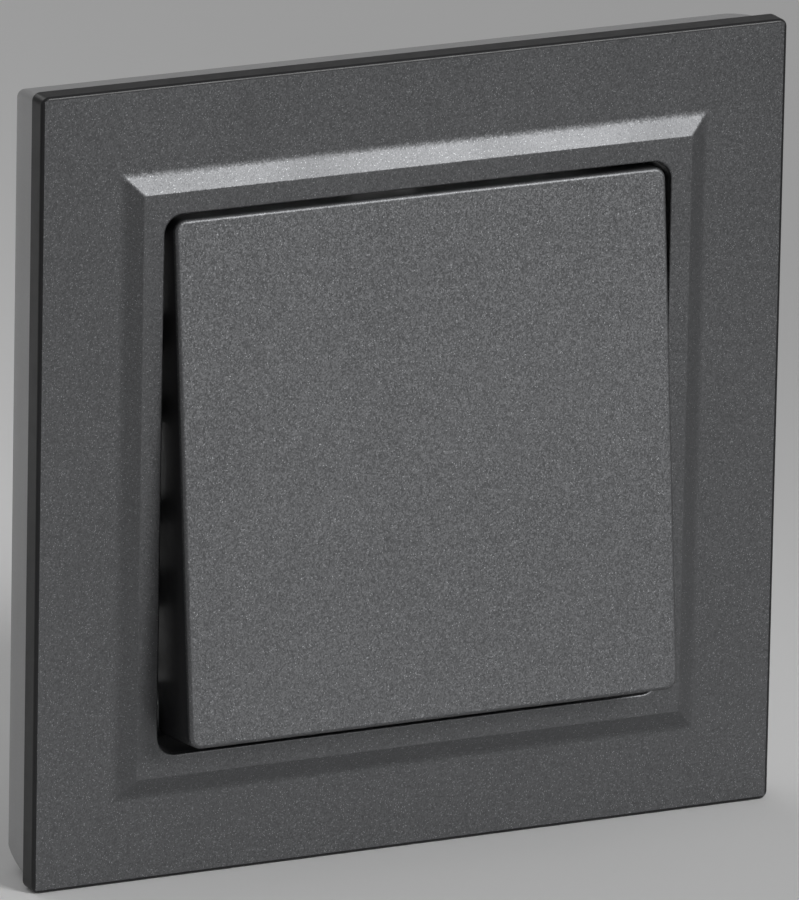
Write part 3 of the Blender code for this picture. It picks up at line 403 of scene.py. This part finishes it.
def make_lacquer():
    """Semi-matt anthracite lacquer with fine silver flakes."""
    material, tree, shader = new_material("graphite_lacquer", 0.95)
    flakes = place_group(tree, FLAKES, Scale=8500.0, Share=0.12, Tilt=0.16)
    ground = mix_colour(tree, flakes.outputs["Mottle"], (0.122, 0.124, 0.128, 1), (0.155, 0.157, 0.162, 1))
    speckled = mix_colour(tree, flakes.outputs["Flake"], ground, (0.38, 0.39, 0.40, 1))
    tree.links.new(speckled, shader.inputs["Base Color"])
    rough = remap(tree, noise(tree, 60.0), 0.3, 0.7, 0.43, 0.49)
    tree.links.new(rough, shader.inputs["Roughness"])
    tree.links.new(flakes.outputs["Normal"], shader.inputs["Normal"])
    return material


def make_black_plastic():
    """Glossy black moulding with faint rubbing marks."""
    material, tree, shader = new_material("black_plastic", 0.0, 0.32)
    grain = place_group(tree, GRAIN, Scale=2500.0)
    colour = mix_colour(tree, grain.outputs["Drift"], (0.009, 0.009, 0.010, 1), (0.017, 0.017, 0.018, 1))
    tree.links.new(colour, shader.inputs["Base Color"])
    rough = remap(tree, noise(tree, 350.0, 5.0, 0.7), 0.35, 0.75, 0.28, 0.4)
    tree.links.new(rough, shader.inputs["Roughness"])
    tree.links.new(bump(tree, grain.outputs["Height"], 0.004 * MM), shader.inputs["Normal"])
    return material


def make_moulding(name, light, dark, roughness, grain_depth):
    """Satin moulding with a fine grain, a slow drift of tone and paler rubbed edges."""
    material, tree, shader = new_material(name, 0.0)
    grain = place_group(tree, GRAIN, Scale=5200.0)
    base = mix_colour(tree, grain.outputs["Drift"], dark, light)
    wear = place_group(tree, WEAR, Amount=0.35, Scale=700.0)
    pale = tuple(min(channel * 1.35, 0.9) for channel in light[:3]) + (1,)
    worn = mix_colour(tree, wear.outputs["Wear"], base, pale)
    tree.links.new(worn, shader.inputs["Base Color"])
    rough = remap(tree, grain.outputs["Height"], 0.3, 0.7, roughness - 0.06, roughness + 0.06)
    tree.links.new(rough, shader.inputs["Roughness"])
    tree.links.new(bump(tree, grain.outputs["Height"], grain_depth), shader.inputs["Normal"])
    return material


def make_metal(name, light, dark, roughness, grain_scale, streak):
    """Plated or stamped metal: crystal patches, drawn streaks and brighter rubbed edges."""
    material, tree, shader = new_material(name, 1.0)
    coordinates = object_coordinates(tree)
    stretched = add_node(tree, "ShaderNodeMapping", {"Vector": coordinates, "Scale": streak})
    lines = add_node(
        tree,
        "ShaderNodeTexNoise",
        {"Vector": stretched.outputs["Vector"], "Scale": 900.0, "Detail": 5.0, "Roughness": 0.65},
    )
    patches = add_node(
        tree,
        "ShaderNodeTexVoronoi",
        {"Vector": coordinates, "Scale": grain_scale},
        feature="F1",
    )
    parts = add_node(tree, "ShaderNodeSeparateColor", {"Color": patches.outputs["Color"]})
    both = arithmetic(tree, "ADD", parts.outputs["Red"], lines.outputs["Fac"])
    tone = remap(tree, both, 0.4, 1.4)
    base = mix_colour(tree, tone, dark, light)
    wear = place_group(tree, WEAR, Amount=0.6, Scale=1200.0)
    bright = tuple(min(channel * 1.25, 0.95) for channel in light[:3]) + (1,)
    worn = mix_colour(tree, wear.outputs["Wear"], base, bright)
    tree.links.new(worn, shader.inputs["Base Color"])
    rough = remap(tree, lines.outputs["Fac"], 0.3, 0.7, roughness - 0.08, roughness + 0.1)
    tree.links.new(rough, shader.inputs["Roughness"])
    tree.links.new(bump(tree, lines.outputs["Fac"], 0.006 * MM), shader.inputs["Normal"])
    return material


FLAKES = make_flake_group()
WEAR = make_wear_group()
GRAIN = make_grain_group()

MATERIALS = {
    "graphite_lacquer": make_lacquer(),
    "black_plastic": make_black_plastic(),
    "grey_plastic": make_moulding(
        "grey_plastic", (0.36, 0.36, 0.365, 1), (0.30, 0.30, 0.303, 1), 0.45, 0.012 * MM
    ),
    "white_plastic": make_moulding(
        "white_plastic", (0.80, 0.80, 0.77, 1), (0.74, 0.735, 0.70, 1), 0.42, 0.01 * MM
    ),
    "zinc_steel": make_metal(
        "zinc_steel", (0.68, 0.69, 0.70, 1), (0.54, 0.55, 0.57, 1), 0.34, 420.0, (1.0, 1.0, 0.12)
    ),
    "spring_steel": make_metal(
        "spring_steel", (0.56, 0.56, 0.55, 1), (0.42, 0.42, 0.42, 1), 0.28, 2500.0, (1.0, 1.0, 1.0)
    ),
    "brass": make_metal(
        "brass", (0.80, 0.60, 0.30, 1), (0.66, 0.47, 0.21, 1), 0.30, 900.0, (1.0, 0.15, 1.0)
    ),
    "silver": make_metal(
        "silver", (0.86, 0.85, 0.82, 1), (0.74, 0.73, 0.70, 1), 0.24, 1800.0, (1.0, 1.0, 1.0)
    ),
}


# --- Frame ----------------------------------------------------------------------------------------


def rim_section():
    """The bevel from its foot, rounded into the face, to the rounding that ends it at the rim's front."""
    width = RIM_FOOT_HALF - RIM_HALF
    steepness = RIM_HEIGHT / (width * (1 - RIM_FILLET / 2) - RIM_EDGE / 2)
    drop = steepness * RIM_EDGE / 2
    points = []
    for step in range(RIM_STEPS + 1):
        run = (width - RIM_EDGE) * step / RIM_STEPS
        rise = steepness * (run - width * RIM_FILLET / 2)
        if run < width * RIM_FILLET:
            rise = steepness * run**2 / (2 * width * RIM_FILLET)
        points.append((RIM_FOOT_HALF - run, FACE_Y - rise, RIM_CORNER))
    for step in range(1, FILLET_STEPS + 1):
        share = 1 - step / FILLET_STEPS
        points.append((RIM_HALF + RIM_EDGE * share, FACE_Y - RIM_HEIGHT + drop * share**2, RIM_CORNER))
    return points


def painted_section():
    """Front surface of the lacquer, from the edge of the face over the rim to the opening's lip."""
    half = SHELL_HALF - FACE_INSET
    points = [
        (half, FACE_Y + 0.03 * MM, PAINT_CORNER),
        (half - 0.03 * MM, FACE_Y, PAINT_CORNER),
        (half - 0.03 * MM - HOLD, FACE_Y, PAINT_CORNER),
        (RIM_FOOT_HALF + HOLD, FACE_Y, RIM_CORNER),
    ]
    points += rim_section()
    front = FACE_Y - RIM_HEIGHT
    points += [
        (RIM_HALF - HOLD, front, RIM_CORNER),
        (OPENING_HALF + LIP + HOLD, front, OPENING_CORNER),
    ]
    for step in range(FILLET_STEPS + 1):
        angle = math.radians(90) * step / FILLET_STEPS
        points.append(
            (
                OPENING_HALF + LIP * (1 - math.sin(angle)),
                front + LIP * (1 - math.cos(angle)),
                OPENING_CORNER,
            )
        )
    points.append((OPENING_HALF, front + LIP + 0.6 * MM, OPENING_CORNER))
    return points


def make_frame_face():
    """The lacquered front, a thin closed skin that follows the face, the rim and the lip."""
    front = painted_section()
    back = [
        (OPENING_HALF + PAINT, FACE_Y - RIM_HEIGHT + LIP + 0.6 * MM, OPENING_CORNER),
        (OPENING_HALF + PAINT, FACE_Y - RIM_HEIGHT + PAINT, OPENING_CORNER),
        (RIM_HALF - PAINT, FACE_Y - RIM_HEIGHT + PAINT, RIM_CORNER),
        (RIM_FOOT_HALF - PAINT, FACE_Y + PAINT, RIM_CORNER),
        (SHELL_HALF - FACE_INSET, FACE_Y + PAINT, PAINT_CORNER),
    ]
    bm = bmesh.new()
    loft(bm, square_levels(front + back), closed=True)
    new_piece("frame_face", bm, "body", "graphite_lacquer", "frame_cover")


def make_frame_shell():
    """The glossy black shell under the lacquer: rounded side, edge around the face, flange and barbs."""
    half = SHELL_HALF
    rear_round = 0.25 * MM
    section = []
    for step in range(FILLET_STEPS + 1):
        angle = math.radians(90) * step / FILLET_STEPS
        inset = rear_round * (1 - math.sin(angle))
        y = SHELL_REAR_Y - rear_round * (1 - math.cos(angle))
        section.append((half - inset, y, SHELL_CORNER - inset))
    section.append((half, SHELL_REAR_Y - rear_round - HOLD, SHELL_CORNER))
    section.append((half, FACE_Y + FACE_INSET + HOLD, SHELL_CORNER))
    for step in range(FILLET_STEPS + 1):
        angle = math.radians(90) * step / FILLET_STEPS
        inset = FACE_INSET * (1 - math.cos(angle))
        y = FACE_Y + FACE_INSET * (1 - math.sin(angle))
        section.append((half - inset, y, SHELL_CORNER - inset))
    under = PAINT + 0.02 * MM
    section += [
        (half - FACE_INSET - 0.01 * MM, FACE_Y + under, SHELL_CORNER - FACE_INSET),
        (RIM_FOOT_HALF - PAINT, FACE_Y + under, RIM_CORNER),
        (RIM_HALF - PAINT, FACE_Y - RIM_HEIGHT + under, RIM_CORNER),
        (OPENING_HALF + under, FACE_Y - RIM_HEIGHT + under, OPENING_CORNER),
        (OPENING_HALF + under, FACE_Y - RIM_HEIGHT + LIP + 0.6 * MM, OPENING_CORNER),
        (OPENING_HALF, FACE_Y - RIM_HEIGHT + LIP + 0.62 * MM, OPENING_CORNER),
        (OPENING_HALF, FLANGE_END_Y - HOLD, OPENING_CORNER),
        (OPENING_HALF + 0.1 * MM, FLANGE_END_Y, OPENING_CORNER),
        (OPENING_HALF + FLANGE_WALL - 0.1 * MM, FLANGE_END_Y, OPENING_CORNER),
        (OPENING_HALF + FLANGE_WALL, FLANGE_END_Y - 0.1 * MM, OPENING_CORNER),
        (OPENING_HALF + FLANGE_WALL, FACE_Y + FACE_WALL + 0.2 * MM, OPENING_CORNER),
        (OPENING_HALF + FLANGE_WALL + 0.2 * MM, FACE_Y + FACE_WALL, OPENING_CORNER),
        (half - SHELL_WALL - 0.2 * MM, FACE_Y + FACE_WALL, RIM_CORNER),
        (half - SHELL_WALL, FACE_Y + FACE_WALL + 0.2 * MM, RIM_CORNER),
        (half - SHELL_WALL, SHELL_REAR_Y, RIM_CORNER),
    ]
    bm = bmesh.new()
    loft(bm, square_levels(section), closed=True)
    flange = OPENING_HALF + FLANGE_WALL
    for quarter in range(4):
        side = Matrix.Rotation(math.radians(90) * quarter, 4, "Y")
        for offset in (-SNAP_OFFSET, SNAP_OFFSET):
            low = (flange - FLANGE_WALL / 2, SNAP_Y[0], offset - SNAP_HALF_WIDTH)
            high = (flange + SNAP_REACH, SNAP_Y[1], offset + SNAP_HALF_WIDTH)
            block(bm, low, high, 0.15 * MM, side)
    new_piece("frame_shell", bm, "body", "black_plastic", "frame_cover")


# --- Key ------------------------------------------------------------------------------------------


def tilt_key(bm):
    """Carries a shape modelled about the key's pivot to its place at rest."""
    place = Matrix.Translation(PIVOT) @ Matrix.Rotation(TILT, 4, "X")
    bmesh.ops.transform(bm, matrix=place, verts=bm.verts)


def key_level(inset, y):
    return KEY_HALF_X - inset, KEY_HALF_Z - inset, y, max(KEY_CORNER - inset, 0.2 * MM)


def make_key_face():
    """The lacquered front of the key, which wraps over its rounded edge."""
    wrap = KEY_FACE + KEY_EDGE + 0.25 * MM
    levels = [
        key_level(KEY_EDGE + PAINT, KEY_FACE + PAINT),
        key_level(PAINT, KEY_FACE + KEY_EDGE),
        key_level(PAINT, wrap),
        key_level(0.0, wrap),
        key_level(0.0, KEY_FACE + KEY_EDGE + HOLD),
    ]
    for step in range(FILLET_STEPS + 1):
        angle = math.radians(90) * step / FILLET_STEPS
        y = KEY_FACE + KEY_EDGE * (1 - math.sin(angle))
        levels.append(key_level(KEY_EDGE * (1 - math.cos(angle)), y))
    levels.append(key_level(KEY_EDGE + HOLD, KEY_FACE))
    bm = bmesh.new()
    loft(bm, levels, closed=False)
    tilt_key(bm)
    new_piece("rocker_face", bm, "key", "graphite_lacquer", "rocker")


def make_key_body():
    """The black moulding behind the key's lacquer: skirt, ribs and hooks."""
    under = PAINT + 0.01 * MM
    back_round = 0.2 * MM
    panel = KEY_FACE + KEY_PANEL
    levels = [
        key_level(KEY_WALL, panel),
        key_level(KEY_WALL, KEY_BACK),
        key_level(back_round, KEY_BACK),
        key_level(0.06 * MM, KEY_BACK - 0.06 * MM),
        key_level(0.0, KEY_BACK - back_round),
        key_level(0.0, KEY_FACE + KEY_EDGE + 0.27 * MM),
        key_level(under, KEY_FACE + KEY_EDGE + 0.26 * MM),
        key_level(under, KEY_FACE + KEY_EDGE),
        key_level(KEY_EDGE + under, KEY_FACE + under),
    ]
    bm = bmesh.new()
    loft(bm, levels, closed=False)
    root = panel - 0.4 * MM
    for side_x in (-1, 1):
        low, high = sorted((side_x * 18.6 * MM, side_x * 19.8 * MM))
        block(bm, (low, root, -21.0 * MM), (high, panel + 1.6 * MM, 21.0 * MM), 0.15 * MM)
        for side_z in (-1, 1):
            add_key_hook(bm, side_x * 7.0 * MM, side_z, root)
    tilt_key(bm)
    new_piece("rocker_body", bm, "key", "black_plastic", "rocker")


def add_key_hook(bm, x, side_z, root):
    """An arm behind the panel and the catch that reaches under the carrier's plate."""
    catch_y = -5.0 * MM
    arm = sorted((side_z * 11.8 * MM, side_z * 13.0 * MM))
    catch = sorted((side_z * 10.9 * MM, side_z * 12.4 * MM))
    half = 2.5 * MM
    block(bm, (x - half, root, arm[0]), (x + half, catch_y + 0.8 * MM, arm[1]), 0.12 * MM)
    block(bm, (x - half, catch_y, catch[0]), (x + half, catch_y + 0.8 * MM, catch[1]), 0.12 * MM)


# --- Refined CAD nodes ----------------------------------------------------------------------------


def refine(node, body, slot, width, segments=2, sharp=35.0):
    """A copy of a CAD node with its facets merged and its edges softened by width."""
    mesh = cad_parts[node].data.copy()
    piece = bpy.data.objects.new(node + "_finished", mesh)
    bpy.context.collection.objects.link(piece)
    bm = bmesh.new()
    bm.from_mesh(mesh)
    bmesh.ops.remove_doubles(bm, verts=bm.verts, dist=2e-6)
    bmesh.ops.dissolve_limit(bm, angle_limit=math.radians(1.0), verts=bm.verts, edges=bm.edges)
    bm.to_mesh(mesh)
    bm.free()
    mesh.shade_smooth()
    mesh.set_sharp_from_angle(angle=math.radians(sharp))
    mesh.materials.clear()
    mesh.materials.append(MATERIALS[slot])
    if width:
        edge = piece.modifiers.new("edge", "BEVEL")
        edge.width = width
        edge.segments = segments
        edge.limit_method = "ANGLE"
        edge.angle_limit = math.radians(sharp)
        edge.use_clamp_overlap = True
        edge.material = -1
    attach(piece, body)
    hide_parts(node)
    return piece


REFINED = [
    ("frame_base", "body", "grey_plastic", 0.12),
    ("support_plate", "body", "zinc_steel", 0.08),
    ("housing_cover", "body", "white_plastic", 0.12),
    ("housing_base", "body", "white_plastic", 0.15),
    ("rocker_cradle", "key", "white_plastic", 0.12),
    ("plunger", "plunger_pin", "grey_plastic", 0.0),
    ("plunger_spring", "key", "spring_steel", 0.0),
    ("moving_contact", "bridge", "brass", 0.08),
    ("moving_contact_tip", "bridge", "silver", 0.0),
    ("common_contact", "body", "brass", 0.06),
    ("fixed_contact", "body", "brass", 0.06),
    ("fixed_contact_tip", "body", "silver", 0.0),
    ("terminal_cage_line", "cage_line", "brass", 0.15),
    ("terminal_cage_load", "cage_load", "brass", 0.15),
    ("claw_washer_left", "washer_left", "zinc_steel", 0.08),
    ("claw_washer_right", "washer_right", "zinc_steel", 0.08),
    ("claw_left", "claw_left", "zinc_steel", 0.1),
    ("claw_right", "claw_right", "zinc_steel", 0.1),
]


# --- Screws ---------------------------------------------------------------------------------------


def make_screw(node, body, axis, head_height, head_radius, shank_radius, end, slot_turn):
    """A slotted screw with a rounded head and a wound thread, in the space of its CAD node.

    end is the length of its tapered end and the radius it tapers to.
    """
    low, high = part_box(node)
    centre = (low + high) / 2
    direction = Vector(axis)
    length = abs((high - low).dot(direction))
    start = centre - direction * length / 2
    shoulder = start + direction * head_height
    core = shank_radius * 0.8
    depth = shank_radius - core
    profile = [
        (0.0, 0.0),
        (0.0, head_radius * 0.62),
        (head_height * 0.07, head_radius * 0.8),
        (head_height * 0.2, head_radius * 0.92),
        (head_height * 0.42, head_radius * 0.99),
        (head_height * 0.5, head_radius),
        (head_height - 0.1 * MM, head_radius),
        (head_height, head_radius - 0.1 * MM),
        (head_height, core),
        (length - end[0], core),
        (length, end[1]),
        (length, 0.0),
    ]
    bm = bmesh.new()
    turn_profile(bm, profile, start, direction, 48)
    outward(bm)
    thread_start = 0.4 * MM
    turns = math.floor((length - head_height - thread_start - end[0] - 0.1 * MM) / THREAD_PITCH)
    thread = bmesh.new()
    wind_thread(thread, shoulder + direction * thread_start, direction, core, depth, turns)
    outward(thread)
    ridge = bpy.data.meshes.new("ridge")
    thread.to_mesh(ridge)
    thread.free()
    piece = new_piece(node + "_threaded", bm, body, "zinc_steel", node)
    cut_slot(piece, start, direction, head_radius, slot_turn)
    joined = bmesh.new()
    joined.from_mesh(piece.data)
    joined.from_mesh(ridge)
    joined.to_mesh(piece.data)
    joined.free()
    bpy.data.meshes.remove(ridge)
    piece.data.shade_smooth()
    piece.data.set_sharp_from_angle(angle=math.radians(30))
    return piece


def cut_slot(piece, start, direction, head_radius, slot_turn):
    """A driver slot across the head, turned about the screw's axis."""
    bm = bmesh.new()
    frame_turn = direction.to_track_quat("Y", "Z").to_matrix().to_4x4()
    place = Matrix.Translation(start) @ frame_turn @ Matrix.Rotation(slot_turn, 4, "Y")
    reach = head_radius * 1.2
    block(bm, (-reach, -1.0 * MM, -SLOT_WIDTH / 2), (reach, SLOT_DEPTH, SLOT_WIDTH / 2), 0.05 * MM)
    bmesh.ops.transform(bm, matrix=place, verts=bm.verts)
    mesh = bpy.data.meshes.new("slot")
    bm.to_mesh(mesh)
    bm.free()
    cutter = bpy.data.objects.new("slot", mesh)
    bpy.context.collection.objects.link(cutter)
    modifier = piece.modifiers.new("slot", "BOOLEAN")
    modifier.operation = "DIFFERENCE"
    modifier.solver = "EXACT"
    modifier.object = cutter
    depsgraph = bpy.context.evaluated_depsgraph_get()
    cut_mesh = bpy.data.meshes.new_from_object(piece.evaluated_get(depsgraph))
    piece.modifiers.clear()
    piece.data = cut_mesh
    bpy.data.objects.remove(cutter)


SCREWS = [
    ("housing_screw_upper", "body", (0, 1, 0), *SMALL_SCREW, BLUNT_END, math.radians(35)),
    ("housing_screw_lower", "body", (0, 1, 0), *SMALL_SCREW, BLUNT_END, math.radians(110)),
    ("claw_screw_left", "drive_left", (0, 1, 0), *SMALL_SCREW, POINTED_END, math.radians(-60)),
    ("claw_screw_right", "drive_right", (0, 1, 0), *SMALL_SCREW, POINTED_END, math.radians(60)),
    ("terminal_screw_line", "screw_line", (0, 0, -1), *TERMINAL_SCREW, BLUNT_END, math.radians(20)),
    ("terminal_screw_load", "screw_load", (0, 0, 1), *TERMINAL_SCREW, BLUNT_END, math.radians(75)),
]


# --- Stage ----------------------------------------------------------------------------------------


def make_stage():
    """A pale floor that sweeps up into a backdrop behind the switch."""
    bm = bmesh.new()
    points = [(-FLOOR_REACH, FLOOR_Z)]
    for step in range(9):
        angle = math.radians(90) * step / 8
        rise = SWEEP_RADIUS * (1 - math.cos(angle))
        points.append((FLOOR_REACH - SWEEP_RADIUS * (1 - math.sin(angle)), FLOOR_Z + rise))
    points.append((FLOOR_REACH, BACKDROP_TOP))
    verts = [bm.verts.new((-FLOOR_REACH, y, z)) for y, z in points]
    edges = [bm.edges.new(pair) for pair in zip(verts, verts[1:])]
    swept = bmesh.ops.extrude_edge_only(bm, edges=edges)
    moved = [item for item in swept["geom"] if isinstance(item, bmesh.types.BMVert)]
    bmesh.ops.translate(bm, vec=(2 * FLOOR_REACH, 0, 0), verts=moved)
    mesh = bpy.data.meshes.new("floor")
    bm.to_mesh(mesh)
    bm.free()
    floor = bpy.data.objects.new("floor", mesh)
    bpy.context.collection.objects.link(floor)
    mesh.shade_smooth()
    material, _, shader = new_material("floor", 0.0)
    shader.inputs["Base Color"].default_value = (0.78, 0.78, 0.78, 1)
    shader.inputs["Roughness"].default_value = 0.9
    mesh.materials.append(material)


def add_softbox(name, place, aim, size, spread, power):
    """A rectangular lamp whose grid lets its light out within a cone of the given angle."""
    lamp = bpy.data.lights.new(name, "AREA")
    lamp.shape = "RECTANGLE"
    lamp.size, lamp.size_y = size
    lamp.spread = math.radians(spread)
    lamp.energy = power
    obj = bpy.data.objects.new(name, lamp)
    obj.location = place
    obj.rotation_euler = (Vector(aim) - Vector(place)).to_track_quat("-Z", "Y").to_euler()
    bpy.context.collection.objects.link(obj)


def make_lights():
    """A close gridded lamp at the front right, a large soft one behind, and an even fill."""
    add_softbox("key", (0.175, -0.34, 0.215), (0, -0.01, 0.035), (0.22, 0.28), 32, 0.12)
    add_softbox("back", (-0.35, 0.9, 0.85), (0, 0.05, 0), (0.8, 0.8), 180, 2.6)
    world = bpy.data.worlds.new("studio")
    bpy.context.scene.world = world
    world.use_nodes = True
    background = world.node_tree.nodes["Background"]
    background.inputs["Color"].default_value = (1, 1, 1, 1)
    background.inputs["Strength"].default_value = 0.3


def make_camera():
    data = bpy.data.cameras.new("camera")
    data.lens = CAMERA_LENS
    data.sensor_width = 36.0
    data.clip_end = 20.0
    camera = bpy.data.objects.new("camera", data)
    back = Vector(
        (
            math.sin(CAMERA_AZIMUTH) * math.cos(CAMERA_ELEVATION),
            -math.cos(CAMERA_AZIMUTH) * math.cos(CAMERA_ELEVATION),
            math.sin(CAMERA_ELEVATION),
        )
    )
    level = Vector((0, 0, 1)).cross(back).normalized()
    upright = back.cross(level)
    right = level * math.cos(CAMERA_ROLL) + upright * math.sin(CAMERA_ROLL)
    up = back.cross(right)
    turn = Matrix((right, up, back)).transposed().to_4x4()
    camera.matrix_world = Matrix.Translation(CAMERA_TARGET + back * CAMERA_DISTANCE) @ turn
    bpy.context.collection.objects.link(camera)
    bpy.context.scene.camera = camera


def main():
    make_camera()
    make_frame_face()
    make_frame_shell()
    make_key_face()
    make_key_body()
    for node, body, slot, width in REFINED:
        refine(node, body, slot, width)
    for screw in SCREWS:
        make_screw(*screw)
    make_stage()
    make_lights()
    bpy.context.scene.view_settings.view_transform = "Standard"


main()
